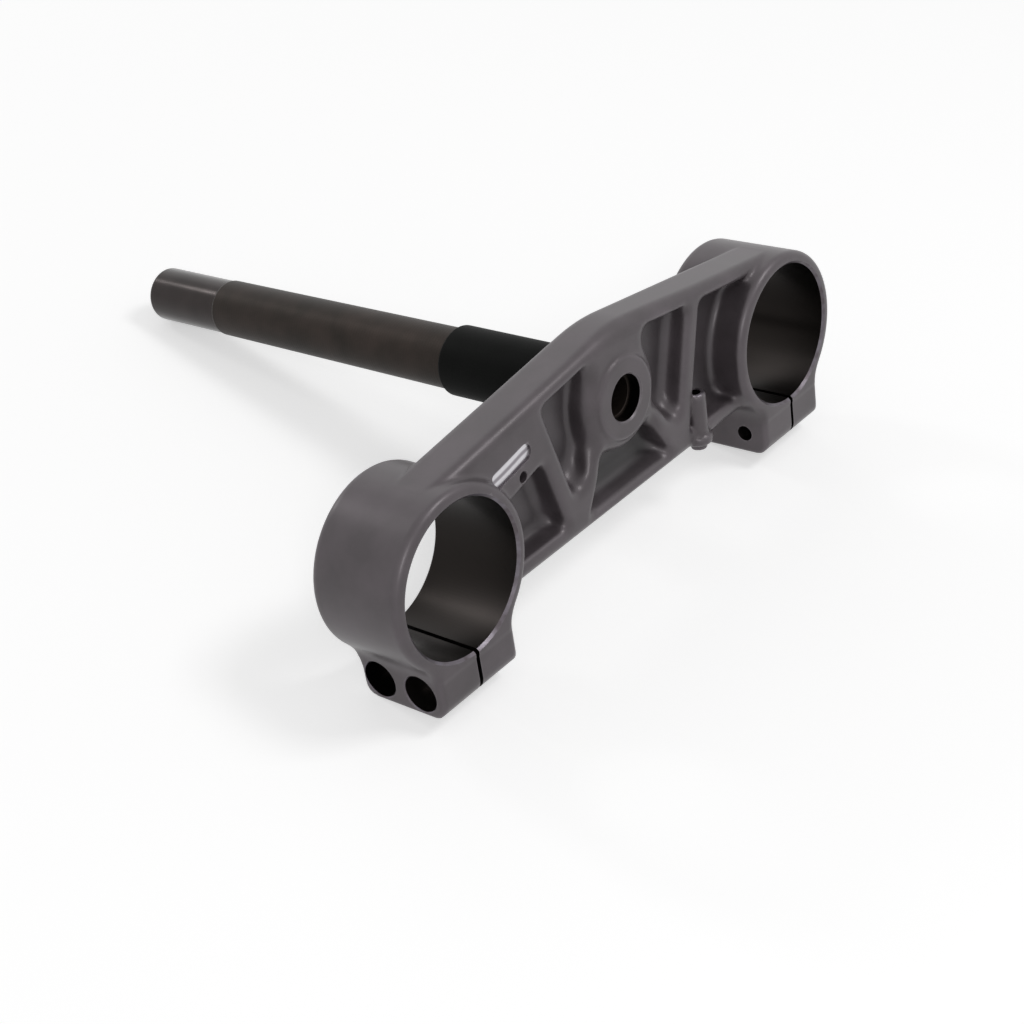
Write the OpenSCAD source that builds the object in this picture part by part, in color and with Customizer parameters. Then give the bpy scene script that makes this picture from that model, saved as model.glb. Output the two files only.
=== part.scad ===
// Lower triple clamp of a motorcycle fork: a cast and machined clamp body, its pressed-in
// steering stem and the black sleeve at the root of the stem.
// Each sub-part is drawn upright, with X to the right, Y forwards and Z up the steering
// axis from the underside of the fork rings. as_it_lies() then lays it down on its two
// pinch ears and the free end of the stem, with the origin on the steering axis where
// the stem leaves the clamp.

/* [Fork legs] */
// Distance between the centres of the two fork legs
fork_spacing = 210; // [200:1:230]
// How far the fork legs sit ahead of the steering axis
fork_offset = 19.5; // [17:0.5:22]
// Diameter of the bores that clamp the fork legs
fork_bore = 59; // [54:0.5:62]

/* [Fork rings] */
// Wall of the ring round each fork leg
ring_wall = 5; // [4:0.2:6]
// Height of the rings along the fork legs
ring_height = 40.6; // [37:0.2:46]
// Chamfer at both mouths of a fork bore
bore_chamfer = 1; // [0.5:0.1:1.5]
// Chamfer round the outside of a ring
ring_chamfer = 1.2; // [0.5:0.1:2]

/* [Pinch ears] */
// Length of an ear ahead of the bore of its fork leg. The bolts pass through its middle
ear_length = 18.6; // [17:0.2:22]
// Half the width of an ear
ear_half = 21; // [20:0.5:26]
// How far an ear ends short of the upper face of its ring
ear_step = 1.4; // [0.6:0.2:2]
// Radius of the front corner of an ear at its upper end
ear_round = 8.5; // [3:0.5:10]
// Radius of the front corner of an ear at its lower end
ear_foot_round = 7; // [2:0.5:7.5]
// Radius of the front corners of an ear, seen along the steering axis
ear_corner = 2; // [1:0.5:4]
// Width of the slit that lets a ring close
slit_width = 1.8; // [1:0.2:3]

/* [Pinch bolts] */
// Distance between the two bolts of an ear
bolt_spacing = 19.4; // [17.5:0.1:19.8]
// Diameter of the counterbore for a bolt head
head_bore = 14.6; // [13:0.2:15]
// Depth of that counterbore
head_depth = 8.5; // [6:0.5:10]
// Diameter of the clearance hole of a bolt
bolt_clearance = 8.6; // [8.4:0.1:9]
// Diameter of the tapped hole of a bolt
bolt_tap = 6.8; // [5:0.1:7]

/* [Bar] */
// How far the ribs are set up from the underside of the rings
rib_recess = 5.5; // [4:0.5:7]
// Thickness of the bar, from its ribs to its top face
bar_thickness = 20.5; // [18:0.5:24]
// Reach of the bar ahead of the centres of the fork legs
bar_front = 23.5; // [21:0.5:25]
// Radius of the rear swell of the bar round the steering axis
swell_radius = 28; // [26:0.5:31]

/* [Pockets] */
// Depth of the pockets under the ribs
pocket_depth = 10; // [7:0.5:12]
// Wall behind the pockets
rear_wall = 5.5; // [4:0.5:7]
// Wall ahead of the outer pockets
outer_rim = 7.5; // [6:0.5:9]
// Wall ahead of the centre pocket
centre_rim = 4.5; // [4:0.5:6]
// Land ahead of the inner pockets
inner_land = 17.5; // [15:0.5:20]
// Radius of the upright corners of a pocket
pocket_corner = 4; // [3:0.25:5]
// Radius between the walls and the floor of a pocket
floor_round = 3; // [2:0.25:3.5]
// How much a pocket wall leans in from its mouth to its floor
wall_lean = 0.8; // [0.2:0.1:1.5]
// How much more the front wall of an inner pocket leans in
ramp_lean = 5; // [2:0.5:7]

/* [Ribs] */
// Width of the diagonal ribs
rib_width = 8; // [6:0.5:10]
// Distance of a diagonal rib from the steering axis at its rear end
rib_rear = 50; // [46:0.5:54]
// Distance of a diagonal rib from the steering axis at its front end
rib_front = 34; // [32:0.5:37]
// Width of the two spokes that run from the hub to the front wall
spoke_width = 7; // [5:0.5:9]
// Angle of the spokes from the line through the two fork legs
spoke_angle = 60; // [56:1:64]
// How far the spokes pass beside the steering axis
spoke_shift = 8.2; // [7:0.2:9.4]

/* [Hub] */
// Diameter of the hub between the pockets
hub_diameter = 44; // [40:1:46]
// Diameter of the raised collar under the hub
collar_diameter = 33; // [28:1:36]
// Height of that collar
collar_height = 1.2; // [0.6:0.2:2]
// Diameter of the hole through the floor of the hub
hub_hole = 18.4; // [16.6:0.2:20]
// Thickness of the hub floor that the stem stands on
hub_floor = 5; // [4:0.5:7]

/* [Left land] */
// Where the left outer pocket begins ahead of the steering axis, at the diagonal rib
land_front_inner = 3.5; // [2:0.5:6]
// Where that pocket begins at the fork ring
land_front_outer = 9; // [7:0.5:11]
// Distance of the small tapped hole from the steering axis
land_hole_x = 61.4; // [60:0.2:63]
// How far that hole lies ahead of the steering axis
land_hole_y = 2.8; // [1.8:0.2:3]
// Diameter of that hole
land_hole = 4.2; // [3:0.1:5]
// Depth of that hole
land_hole_depth = 10; // [6:1:12]
// Distance of the middle of the milled flat from the steering axis
flat_x = 67.4; // [66:0.2:69]
// How far that middle lies behind the steering axis
flat_back = 4.2; // [4:0.2:6.4]
// Turn of the milled flat from the line through the two fork legs
flat_turn = 11; // [8:0.5:14]
// Length of the milled flat beside that hole
flat_length = 24; // [20:0.5:25]
// Width of that milled flat
flat_width = 7; // [5:0.2:7.4]
// Depth of that milled flat
flat_depth = 0.9; // [0.4:0.1:1.5]

/* [Hose boss] */
// Distance of the tapped boss from the steering axis
boss_x = 47; // [46:0.5:49]
// Diameter of the boss
boss_diameter = 9; // [8:0.25:10]
// Length of the boss
boss_length = 25.2; // [23:0.2:30]
// How far the boss stands out of the front edge of the bar
boss_proud = 2.6; // [1:0.2:4]
// How far the boss stands out of the face of the ribs
boss_rise = 2.5; // [1:0.25:3]
// Diameter of its tapped hole
boss_hole = 5; // [3:0.2:6]

/* [Steering stem] */
// Reach of the stem from the top face of the bar to its free end
stem_reach = 238.3; // [200:0.1:260]
// Diameter of the bore through the whole stem
stem_bore = 16; // [10:0.5:17]
// Wall of the shaft where it leaves the sleeve
shaft_wall = 4.65; // [4:0.05:6]
// How much slimmer the shaft is where the upper journal begins
shaft_taper = 0.9; // [0:0.1:1.5]
// Height of the step down to the upper journal
journal_step = 0.4; // [0.1:0.1:0.6]
// Length of the upper journal, at the free end
journal_length = 44; // [35:1:60]
// Height of the step up to the part of the stem that is pressed into the hub
press_step = 0.85; // [0.4:0.05:1.5]
// Chamfer at the free end
tip_chamfer = 2.4; // [1:0.2:3]

/* [Sleeve] */
// Wall of the sleeve at the root of the stem
sleeve_wall = 1.73; // [1.5:0.01:3]
// Length of the sleeve above the top face of the bar
sleeve_length = 61; // [40:1:80]
// Chamfer at the upper end of the sleeve
sleeve_chamfer = 1.2; // [0.4:0.1:1.3]

/* [Fits] */
// Radial play between the stem and what it is pressed into or through
press_play = 0.02; // [0.01:0.01:0.05]

/* [Hidden] */
$fn = 96;
hull_fn = 24;
past = 1; // overrun of a cutter past the face that it opens

ring_radius = fork_bore / 2 + ring_wall;
ring_centre = [fork_spacing / 2, fork_offset];
bar_top = rib_recess + bar_thickness;
bar_edge = fork_offset + bar_front;
ear_reach = fork_bore / 2 + ear_length;
ear_edge = fork_offset + ear_reach;
stem_foot = rib_recess - collar_height + hub_floor;
stem_tip = bar_top + stem_reach;
journal_start = stem_tip - journal_length;
sleeve_end = bar_top + sleeve_length;
shaft_root = stem_bore + 2 * shaft_wall;
shaft_tip = shaft_root - shaft_taper;
journal_diameter = shaft_tip - 2 * journal_step;
press_diameter = shaft_root + 2 * press_step;
sleeve_diameter = shaft_root + 2 * (press_play + sleeve_wall);
ear_height = ring_height - ear_step;
bolt_ahead = fork_bore / 2 + ear_length / 2;
bolt_heights = [(ring_height - bolt_spacing) / 2, (ring_height + bolt_spacing) / 2];
boss_height = rib_recess + boss_diameter / 2 - boss_rise;

// The floor touches the round upper corner of both ears and the chamfered stem tip.
// Both are seen from the side, as [distance up the steering axis, distance forwards].
ear_touch = [ear_height - ear_round, ear_edge - ear_round];
tip_touch = [stem_tip - tip_chamfer, journal_diameter / 2];
touch_span = tip_touch - ear_touch;
rest_tilt = atan2(-touch_span.y, touch_span.x) + asin(ear_round / norm(touch_span));

// A straight line is a pair of points. What it bounds lies on its left.
function unit(v) = v / norm(v);
function cross2(v, w) = v.x * w.y - v.y * w.x;
function moved(line, s) =
    let (along = unit(line[1] - line[0]), step = s * [-along.y, along.x])
    [line[0] + step, line[1] + step];
function crossing(p, q) =
    let (u = p[1] - p[0], v = q[1] - q[0])
    p[0] + u * cross2(q[0] - p[0], v) / cross2(u, v);
function corners(lines, inset) =
    [for (i = [0:len(lines) - 1])
        crossing(moved(lines[i], inset), moved(lines[(i + 1) % len(lines)], inset))];

// Rear edge of the bar: the common tangent of the rear swell and a fork ring
rear_angle = atan2(ring_centre.y, ring_centre.x)
    - asin((ring_radius - swell_radius) / norm(ring_centre));
rear_normal = [sin(rear_angle), -cos(rear_angle)];
rear_edge = [swell_radius * rear_normal, ring_centre + ring_radius * rear_normal];

// Centre lines of a diagonal rib and of a spoke, each from the rear to the front
rib_line = [[rib_rear, -swell_radius / 2], [rib_front, bar_edge]];
spoke_foot = spoke_shift * [sin(spoke_angle), -cos(spoke_angle)];
spoke_line = [spoke_foot, spoke_foot + bar_edge * [cos(spoke_angle), sin(spoke_angle)]];

// Lines round the pockets of the right half, counter-clockwise. Those beside the hub run
// in under it, and the hub is taken out of the pockets afterwards.
hub_overlap = 3;
hub_reach = hub_diameter / 2 - hub_overlap;
function turned(line) = [line[1], line[0]];
function front_line(y) = [[bar_edge, y], [0, y]];
rear_line = moved(rear_edge, rear_wall);
ring_line = [ring_centre, ring_centre + [0, bar_edge]];
inner_mouth = [rear_line, moved(rib_line, rib_width / 2), front_line(bar_edge - inner_land),
    moved(turned(spoke_line), spoke_width / 2), [[hub_reach, 0], [hub_reach, -1]]];
inner_floor = [for (i = [0:4]) i == 2 ? moved(inner_mouth[i], ramp_lean) : inner_mouth[i]];
outer_front = front_line(bar_edge - outer_rim);
outer_inner = moved(turned(rib_line), rib_width / 2);
right_outer = [rear_line, ring_line, outer_front, outer_inner];
land_line = [[rib_rear, land_front_inner], [ring_centre.x - ring_radius, land_front_outer]];
left_outer = [land_line, ring_line, outer_front, outer_inner];
centre_right = moved(spoke_line, spoke_width / 2);
centre_left = [for (p = turned(centre_right)) [-p.x, p.y]];
centre_pocket = [[[-1, hub_reach], [1, hub_reach]], centre_right,
    front_line(bar_edge - centre_rim), centre_left];

module as_it_lies() {
    rotate([-90 - rest_tilt, 0, 0]) translate([0, 0, -bar_top]) children();
}

module at_fork(side) {
    translate([side * ring_centre.x, ring_centre.y, 0]) children();
}

// One pocket: its mouth between the ribs, its walls leaning in to a rounded floor
module pocket(mouth, floor_lines) {
    floor_height = rib_recess + pocket_depth;
    hull() {
        for (p = corners(mouth, pocket_corner)) translate([p.x, p.y, rib_recess - past])
            cylinder(r = pocket_corner, h = past, $fn = hull_fn);
        for (p = corners(floor_lines, wall_lean + floor_round))
            translate([p.x, p.y, floor_height - floor_round]) sphere(r = floor_round, $fn = hull_fn);
    }
}

module pockets() {
    difference() {
        union() {
            for (side = [0, 1]) mirror([side, 0, 0]) pocket(inner_mouth, inner_floor);
            pocket(right_outer, right_outer);
            mirror([1, 0, 0]) pocket(left_outer, left_outer);
            pocket(centre_pocket, centre_pocket);
        }
        cylinder(d = hub_diameter, h = bar_top);
        for (side = [-1, 1]) at_fork(side) cylinder(r = ring_radius, h = bar_top);
    }
}

// The bar between the rings, with its rear swell and the raised collar of the hub
module bar() {
    translate([0, 0, rib_recess]) linear_extrude(bar_thickness) {
        polygon([rear_edge[0], rear_edge[1], [ring_centre.x, bar_edge],
            [-ring_centre.x, bar_edge], [-rear_edge[1].x, rear_edge[1].y],
            [-rear_edge[0].x, rear_edge[0].y]]);
        circle(r = swell_radius);
    }
    translate([0, 0, rib_recess - collar_height]) cylinder(d = collar_diameter, h = collar_height + past);
}

module ring() {
    rotate_extrude() polygon([[0, 0], [ring_radius - ring_chamfer, 0], [ring_radius, ring_chamfer],
        [ring_radius, ring_height - ring_chamfer], [ring_radius - ring_chamfer, ring_height],
        [0, ring_height]]);
}

// Square corner block with one corner rounded, the corner lying at the origin
module corner_cut(radius, length) {
    difference() {
        translate([-radius, -radius, -past]) cube([radius + past, radius + past, length + 2 * past]);
        translate([-radius, -radius, -2 * past]) cylinder(r = radius, h = length + 4 * past);
    }
}

module ear() {
    difference() {
        translate([-ear_half, 0, 0]) cube([2 * ear_half, ear_reach, ear_height]);
        for (side = [0, 1]) mirror([side, 0, 0]) translate([ear_half, ear_reach, 0])
            corner_cut(ear_corner, ear_height);
        translate([-ear_half, ear_reach, ear_height]) rotate([90, 0, 90])
            corner_cut(ear_round, 2 * ear_half);
        translate([-ear_half, ear_reach, 0]) mirror([0, 0, 1]) rotate([90, 0, 90])
            corner_cut(ear_foot_round, 2 * ear_half);
    }
}

// One pinch bolt hole along X: counterbore outside, clearance to the slit, thread inside
module bolt_hole() {
    rotate([0, -90, 0]) {
        translate([0, 0, -ear_half - past]) cylinder(d = bolt_tap, h = ear_half + 2 * past);
        cylinder(d = bolt_clearance, h = ear_half);
        translate([0, 0, ear_half - head_depth]) cylinder(d = head_bore, h = head_depth + past);
    }
}

// Everything that is machined out at one fork leg. The outer side of the left leg is at -X.
module fork_cuts() {
    translate([0, 0, -past]) cylinder(d = fork_bore, h = ring_height + 2 * past);
    for (end = [0, 1]) translate([0, 0, end * ring_height]) mirror([0, 0, end])
        translate([0, 0, -past]) cylinder(r1 = fork_bore / 2 + bore_chamfer + past,
            r2 = fork_bore / 2, h = bore_chamfer + past);
    translate([-slit_width / 2, 0, -past]) cube([slit_width, ear_reach + past, ring_height + 2 * past]);
    for (z = bolt_heights) translate([0, bolt_ahead, z]) bolt_hole();
}

// Seat of the stem in the hub and the hole through the hub floor
module hub_cuts() {
    translate([0, 0, stem_foot]) cylinder(d = press_diameter + 2 * press_play, h = bar_top);
    cylinder(d = hub_hole, h = bar_top);
}

// Small tapped hole and milled flat on the land beside the left ring
module land_cuts() {
    translate([-land_hole_x, land_hole_y, rib_recess - past])
        cylinder(d = land_hole, h = land_hole_depth + past);
    run = flat_length - flat_width;
    translate([-flat_x, -flat_back, rib_recess - past]) rotate([0, 0, -flat_turn]) {
        translate([-run / 2, -flat_width / 2, 0]) cube([run, flat_width, flat_depth + past]);
        for (end = [-1, 1]) translate([end * run / 2, 0, 0]) cylinder(d = flat_width, h = flat_depth + past);
    }
}

module boss() {
    translate([boss_x, bar_edge + boss_proud - boss_length, boss_height]) rotate([-90, 0, 0])
        cylinder(d = boss_diameter, h = boss_length);
}

module boss_bore() {
    translate([boss_x, bar_edge + boss_proud - boss_length - past, boss_height]) rotate([-90, 0, 0])
        cylinder(d = boss_hole, h = boss_length + 2 * past);
}

module lower_clamp() {
    color("#55545b") as_it_lies() difference() {
        union() {
            difference() {
                bar();
                pockets();
            }
            for (side = [-1, 1]) at_fork(side) {
                ring();
                ear();
            }
            boss();
        }
        for (side = [0, 1]) mirror([side, 0, 0]) at_fork(-1) fork_cuts();
        hub_cuts();
        land_cuts();
        boss_bore();
    }
}

// Turned steel stem: pressed foot, slightly tapered shaft, upper journal, bored through
module steering_stem() {
    color("#4b4341") as_it_lies() rotate_extrude() polygon([
        [stem_bore / 2, stem_foot],
        [press_diameter / 2, stem_foot],
        [press_diameter / 2, bar_top],
        [shaft_root / 2, bar_top],
        [shaft_root / 2, sleeve_end],
        [shaft_tip / 2, journal_start],
        [journal_diameter / 2, journal_start],
        [journal_diameter / 2, stem_tip - tip_chamfer],
        [journal_diameter / 2 - tip_chamfer, stem_tip],
        [stem_bore / 2, stem_tip]]);
}

module stem_sleeve() {
    color("#17171a") as_it_lies() rotate_extrude() polygon([
        [shaft_root / 2 + press_play, bar_top],
        [sleeve_diameter / 2, bar_top],
        [sleeve_diameter / 2, sleeve_end - sleeve_chamfer],
        [sleeve_diameter / 2 - sleeve_chamfer, sleeve_end],
        [shaft_root / 2 + press_play, sleeve_end]]);
}

lower_clamp();
steering_stem();
stem_sleeve();
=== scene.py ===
import math

import bmesh
import bpy
import numpy as np
from mathutils import Matrix, Vector


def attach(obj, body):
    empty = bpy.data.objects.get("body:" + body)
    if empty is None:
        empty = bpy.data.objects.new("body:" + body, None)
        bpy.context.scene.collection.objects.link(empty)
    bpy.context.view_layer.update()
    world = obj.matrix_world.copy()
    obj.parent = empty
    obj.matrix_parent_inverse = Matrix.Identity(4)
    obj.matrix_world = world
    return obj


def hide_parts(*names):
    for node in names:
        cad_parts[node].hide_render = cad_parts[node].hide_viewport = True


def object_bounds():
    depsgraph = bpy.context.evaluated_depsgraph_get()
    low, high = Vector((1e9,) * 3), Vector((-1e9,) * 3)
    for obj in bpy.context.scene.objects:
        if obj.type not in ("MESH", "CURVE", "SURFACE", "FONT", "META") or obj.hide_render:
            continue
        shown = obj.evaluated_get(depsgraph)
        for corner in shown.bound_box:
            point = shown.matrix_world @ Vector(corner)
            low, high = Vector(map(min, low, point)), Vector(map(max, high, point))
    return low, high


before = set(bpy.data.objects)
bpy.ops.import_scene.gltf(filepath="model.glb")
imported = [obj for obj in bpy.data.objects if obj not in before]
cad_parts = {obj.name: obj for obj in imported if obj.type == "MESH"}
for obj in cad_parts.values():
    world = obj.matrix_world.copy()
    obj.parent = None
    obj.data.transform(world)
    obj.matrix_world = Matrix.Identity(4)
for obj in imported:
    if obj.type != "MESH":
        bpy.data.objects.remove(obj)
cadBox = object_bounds()
print("frame loaded:", ", ".join(sorted(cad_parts)))

# Sizes that the looks share with the solids, in mm, and the tilt at which the part lies.
# Upright frame: X right, Y forwards, Z up the steering axis from the underside of the rings.
upright = {
    "tilt": 13.626457,
    "barTop": 26.0,
    "forkX": 105.0,
    "forkY": 19.5,
    "forkBore": 59.0,
    "ringHeight": 40.6,
    "boltAhead": 38.8,
    "boltSpacing": 19.4,
}


def layDown(points):
    # the part tips forwards by 90 degrees and the tilt, round the middle of the bar's top face:
    # y = (z - top) cos t - y sin t, z = -(z - top) sin t - y cos t, and mm become m
    p = np.asarray(points, float)
    t = math.radians(upright["tilt"])
    z = p[..., 2] - upright["barTop"]
    y = p[..., 1]
    return np.stack([p[..., 0], z * math.cos(t) - y * math.sin(t),
                     -z * math.sin(t) - y * math.cos(t)], axis=-1) / 1000


def standUp(points):
    # the way back, from metres in the row's frame to mm in the upright one
    p = np.asarray(points, float) * 1000
    t = math.radians(upright["tilt"])
    y, z = p[..., 1], p[..., 2]
    return np.stack([p[..., 0], -y * math.sin(t) - z * math.cos(t),
                     y * math.cos(t) - z * math.sin(t) + upright["barTop"]], axis=-1)


def rise(value, start, over):
    # 0 up to the start, then evenly up to 1 over that length
    return np.clip((value - start) / over, 0, 1)


def fall(value, end, over):
    # 1 at first, then evenly down to 0 at the end, over that length
    return np.clip((end - value) / over, 0, 1)


def bell(value, middle, width):
    # 1 in the middle and 1 / e at the width on either side: exp(-((value - middle) / width)^2)
    return np.exp(-((value - middle) / width) ** 2)


# node helpers; a source is a pair of a node and the name or number of one of its outputs

# a Mix node's colour sockets share their names with others, so they go by number
mixSockets = {"share": 0, "first": 6, "second": 7, "result": 2}


def linear(hexCode):
    # sRGB hex to the linear colour that the shaders work in
    s = np.array([int(hexCode[i:i + 2], 16) for i in (1, 3, 5)]) / 255
    c = np.where(s <= 0.04045, s / 12.92, ((s + 0.055) / 1.055) ** 2.4)
    return (*c.tolist(), 1.0)


def newMaterial(name):
    mat = bpy.data.materials.new(name)
    mat.use_nodes = True
    mat.node_tree.nodes.clear()
    return mat


def addNode(owner, kind, settings=None, links=None):
    # a node in a material or world; settings are sockets or properties, links are {socket: source}
    node = owner.node_tree.nodes.new(kind)
    for key, value in (settings or {}).items():
        if isinstance(key, str) and hasattr(node, key):
            setattr(node, key, value)
        else:
            node.inputs[key].default_value = value
    for key, (source, output) in (links or {}).items():
        owner.node_tree.links.new(source.outputs[output], node.inputs[key])
    return node


def addRamp(mat, source, stops):
    # a colour ramp through the stops [(position, hex or grey)]
    ramp = addNode(mat, "ShaderNodeValToRGB", links={"Fac": source})
    elements = ramp.color_ramp.elements
    while len(elements) < len(stops):
        elements.new(0.5)
    for element, (position, colour) in zip(elements, stops):
        element.position = position
        element.color = linear(colour) if isinstance(colour, str) else (colour, colour, colour, 1)
    return ramp, "Color"


def addNoise(mat, place, scale, detail):
    return addNode(mat, "ShaderNodeTexNoise", {"Scale": scale, "Detail": detail}, {"Vector": place}), "Fac"


def addBands(mat, place, direction, scale, distortion, detail):
    # tool marks: bands that follow one another in that direction, one every 314 / scale mm
    bands = addNode(mat, "ShaderNodeTexWave",
                    {"wave_type": "BANDS", "bands_direction": direction, "Scale": scale,
                     "Distortion": distortion, "Detail": detail}, {"Vector": place})
    return bands, "Fac"


def addBump(mat, height, strength, distance):
    bump = addNode(mat, "ShaderNodeBump", {"Strength": strength, "Distance": distance}, {"Height": height})
    return bump, "Normal"


def addMix(mat, share, first, second):
    # the first colour where the share is 0, the second where it is 1; each is a source or a hex code
    settings, links = {"data_type": "RGBA"}, {mixSockets["share"]: share}
    for socket, colour in (("first", first), ("second", second)):
        if isinstance(colour, str):
            settings[mixSockets[socket]] = linear(colour)
        else:
            links[mixSockets[socket]] = colour
    return addNode(mat, "ShaderNodeMix", settings, links), mixSockets["result"]


def addShader(mat, settings, links):
    # the principled shader of a material, wired to its output
    shader = addNode(mat, "ShaderNodeBsdfPrincipled", settings, links)
    addNode(mat, "ShaderNodeOutputMaterial", links={"Surface": (shader, "BSDF")})
    return mat


def objectCoordinates(mat):
    return addNode(mat, "ShaderNodeTexCoord"), "Object"


def turnedCoordinates(mat, place, angles):
    mapping = addNode(mat, "ShaderNodeMapping", {"vector_type": "POINT", "Rotation": angles}, {"Vector": place})
    return mapping, "Vector"


def steeringCoordinates(mat):
    # Object coordinates turned so that the pattern's Z runs along the steering axis
    return turnedCoordinates(mat, objectCoordinates(mat), (math.radians(90 + upright["tilt"]), 0, 0))


def seenDirectly(owner):
    # 1 where the camera, a reflection or glass looks, 0 for the light that falls on things
    rays = addNode(owner, "ShaderNodeLightPath")
    seen = (rays, "Is Camera Ray")
    for kind in ("Is Glossy Ray", "Is Transmission Ray"):
        total = addNode(owner, "ShaderNodeMath", {"operation": "ADD", "use_clamp": True},
                        {0: seen, 1: (rays, kind)})
        seen = (total, "Value")
    return seen


# camera

view = {
    "focal": 1888.3,  # px, from the match of the photo's bores, bar and stem
    "frame": 1024,  # px
    "sensor": 36.0,  # mm
    "clip": (0.05, 50.0),  # m
    "at": (-495.596, -320.040, -394.233),  # mm, upright frame
    "right": (0.62017, 0.13579, -0.77262),
    "up": (0.46315, -0.85830, 0.22092),
    "back": (-0.63315, -0.49485, -0.59519),
}


def makeCamera(v):
    data = bpy.data.cameras.new("studioCamera")
    data.sensor_width = v["sensor"]
    data.lens = v["focal"] * v["sensor"] / v["frame"]
    data.clip_start, data.clip_end = v["clip"]
    camera = bpy.data.objects.new("studioCamera", data)
    bpy.context.scene.collection.objects.link(camera)
    # a direction is laid down as the way from the origin to its point, in m, so it is scaled back to 1
    origin = layDown([0, 0, upright["barTop"]])
    axes = [(layDown(np.array(v[k]) + [0, 0, upright["barTop"]]) - origin) * 1000
            for k in ("right", "up", "back")]
    at = layDown(v["at"])
    camera.matrix_world = Matrix([[axes[0][i], axes[1][i], axes[2][i], at[i]] for i in range(3)]
                                 + [[0, 0, 0, 1]])
    bpy.context.scene.camera = camera
    print("camera at", np.round(at, 3))


makeCamera(view)

# clamp body

castClamp = {  # mm and degrees, upright frame
    # cells of the cast surface
    "step": 0.95, "netLow": (-142, -31, -2.5), "netHigh": (142, 70, 43),
    # fork rings
    "ringRadius": 34.5, "ringEdge": 2.9,
    # pinch ears: lower than the rings, with a rounded nose
    "earHalf": 21.0, "earReach": 48.1, "earTop": 39.2, "earRound": 8.5, "earFoot": 7.0,
    "earCorner": 2.0, "earBlend": 5.0, "earFallFrom": 30.0, "earFallOver": 7.0,
    "noseFrom": 32.0, "noseBlend": 1.0, "wellInside": -10.0,
    # bar, with a soft swell behind the hub
    "swell": 29.1, "swellBlend": 3.0, "barFront": 43.0, "frontBlend": 2.0, "frontTrim": 1.0,
    "ribs": 5.5, "barEdge": 4.4, "swellEdge": 2.8,
    "edgeMiddle": 14.0, "edgeWidth": 26.0,
    "edgeUntilY": 8.0, "edgeOverY": 20.0, "edgeUntilZ": 16.0, "edgeOverZ": 6.0,
    "barBlend": 4.0, "blendLeast": 0.05, "blendFrom": 0.5, "blendOver": 5.0,
    # hub and its low collar
    "hub": 22.0, "hubOverlap": 3.0, "hubBlend": 3.0, "hubRound": 4.5, "hubRoundWidth": 6.0,
    "collar": 16.5, "collarHeight": 1.5, "collarEdge": 1.1, "collarSunk": 5.0, "collarBlend": 1.8,
    # pockets, ribs and spokes
    "pocketDepth": 10.0, "leanAbove": 3.0, "pocketCorner": 5.0, "floorRound": 4.5, "mouthRound": 3.0,
    "rearWall": 5.5, "outerRim": 7.5, "centreRim": 4.5, "innerLand": 17.5,
    "ribWidth": 8.0, "ribRear": 50.0, "ribFront": 34.0,
    "spokeWidth": 7.0, "spokeAngle": 60.0, "spokeShift": 8.2,
    "lean": 1.2, "rampLean": 6.0, "centreLean": 4.2,
    "landInner": 3.5, "landOuter": 9.0,
    # hose boss: shank, wider foot at the bar's front and slim stub ahead of it
    "bossX": 47.0, "bossZ": 7.5, "bossRadius": 4.5, "bossRear": 20.4, "bossEnd": 45.6,
    "bossFoot": 5.9, "bossStep": 38.6, "bossStub": 3.4, "bossRound": 1.6,
    "bossOverlap": 2.0, "stubSunk": 4.0, "stubRound": 0.8, "bossBlend": 1.0,
}


def softMin(a, b, k):
    # the smaller of two distances, eased over a width k: min(a, b) - h^2 k / 4, h = max(1 - |a - b| / k, 0)
    h = np.maximum(1 - np.abs(a - b) / k, 0)
    return np.minimum(a, b) - h * h * k / 4


def softMax(a, b, k):
    return -softMin(-a, -b, k)


def cornerField(u, w, radius):
    # distance to the corner of two straight sides, rounded by that radius
    a, b = u + radius, w + radius
    return np.minimum(np.maximum(a, b), 0) + np.hypot(np.maximum(a, 0), np.maximum(b, 0)) - radius


def prism(plan, below, above, edge):
    # a plan distance carried between two heights, its edges rounded by the radius edge
    return cornerField(plan, np.maximum(below, above), edge)


def roundedBox(u, v, halfU, halfV, radius):
    # plan distance of a box whose corner radius may differ from point to point
    return cornerField(np.abs(u) - halfU, np.abs(v) - halfV, radius)


def beside(line, x, y):
    # distance to the right of the line from its first to its second point
    p, q = np.array(line, float)
    t = (q - p) / np.linalg.norm(q - p)
    return t[1] * (x - p[0]) - t[0] * (y - p[1])


def shifted(line, s):
    # the line moved by s to its left
    p, q = np.array(line, float)
    t = (q - p) / np.linalg.norm(q - p)
    n = np.array([-t[1], t[0]]) * s
    return [p + n, q + n]


def clampLines(v):
    # rear edge, rib and spoke of the right half; the rear edge touches the swell and the ring
    centre = np.array([upright["forkX"], upright["forkY"]])
    r = v["ringRadius"]
    turn = math.atan2(centre[1], centre[0]) - math.asin((r - v["swell"]) / np.linalg.norm(centre))
    normal = np.array([math.sin(turn), -math.cos(turn)])
    rear = [v["swell"] * normal, centre + r * normal]
    rib = [[v["ribRear"], -v["swell"] / 2], [v["ribFront"], v["barFront"]]]
    a = math.radians(v["spokeAngle"])
    foot = v["spokeShift"] * np.array([math.sin(a), -math.cos(a)])
    spoke = [foot, foot + v["barFront"] * np.array([math.cos(a), math.sin(a)])]
    return rear, rib, spoke


def frontWall(y):
    return [[1, y], [0, y]]


def pocketField(walls, x, y, z, v):
    # every wall (line, lean) leans in by its own share towards the floor, and all meet in soft corners
    depth = np.clip(z - v["ribs"], -v["leanAbove"], v["pocketDepth"]) / v["pocketDepth"]
    d = None
    for line, lean in walls:
        wall = beside(line, x, y) + lean * depth
        d = wall if d is None else softMax(d, wall, v["pocketCorner"])
    return softMax(d, z - v["ribs"] - v["pocketDepth"], v["floorRound"])


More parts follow.
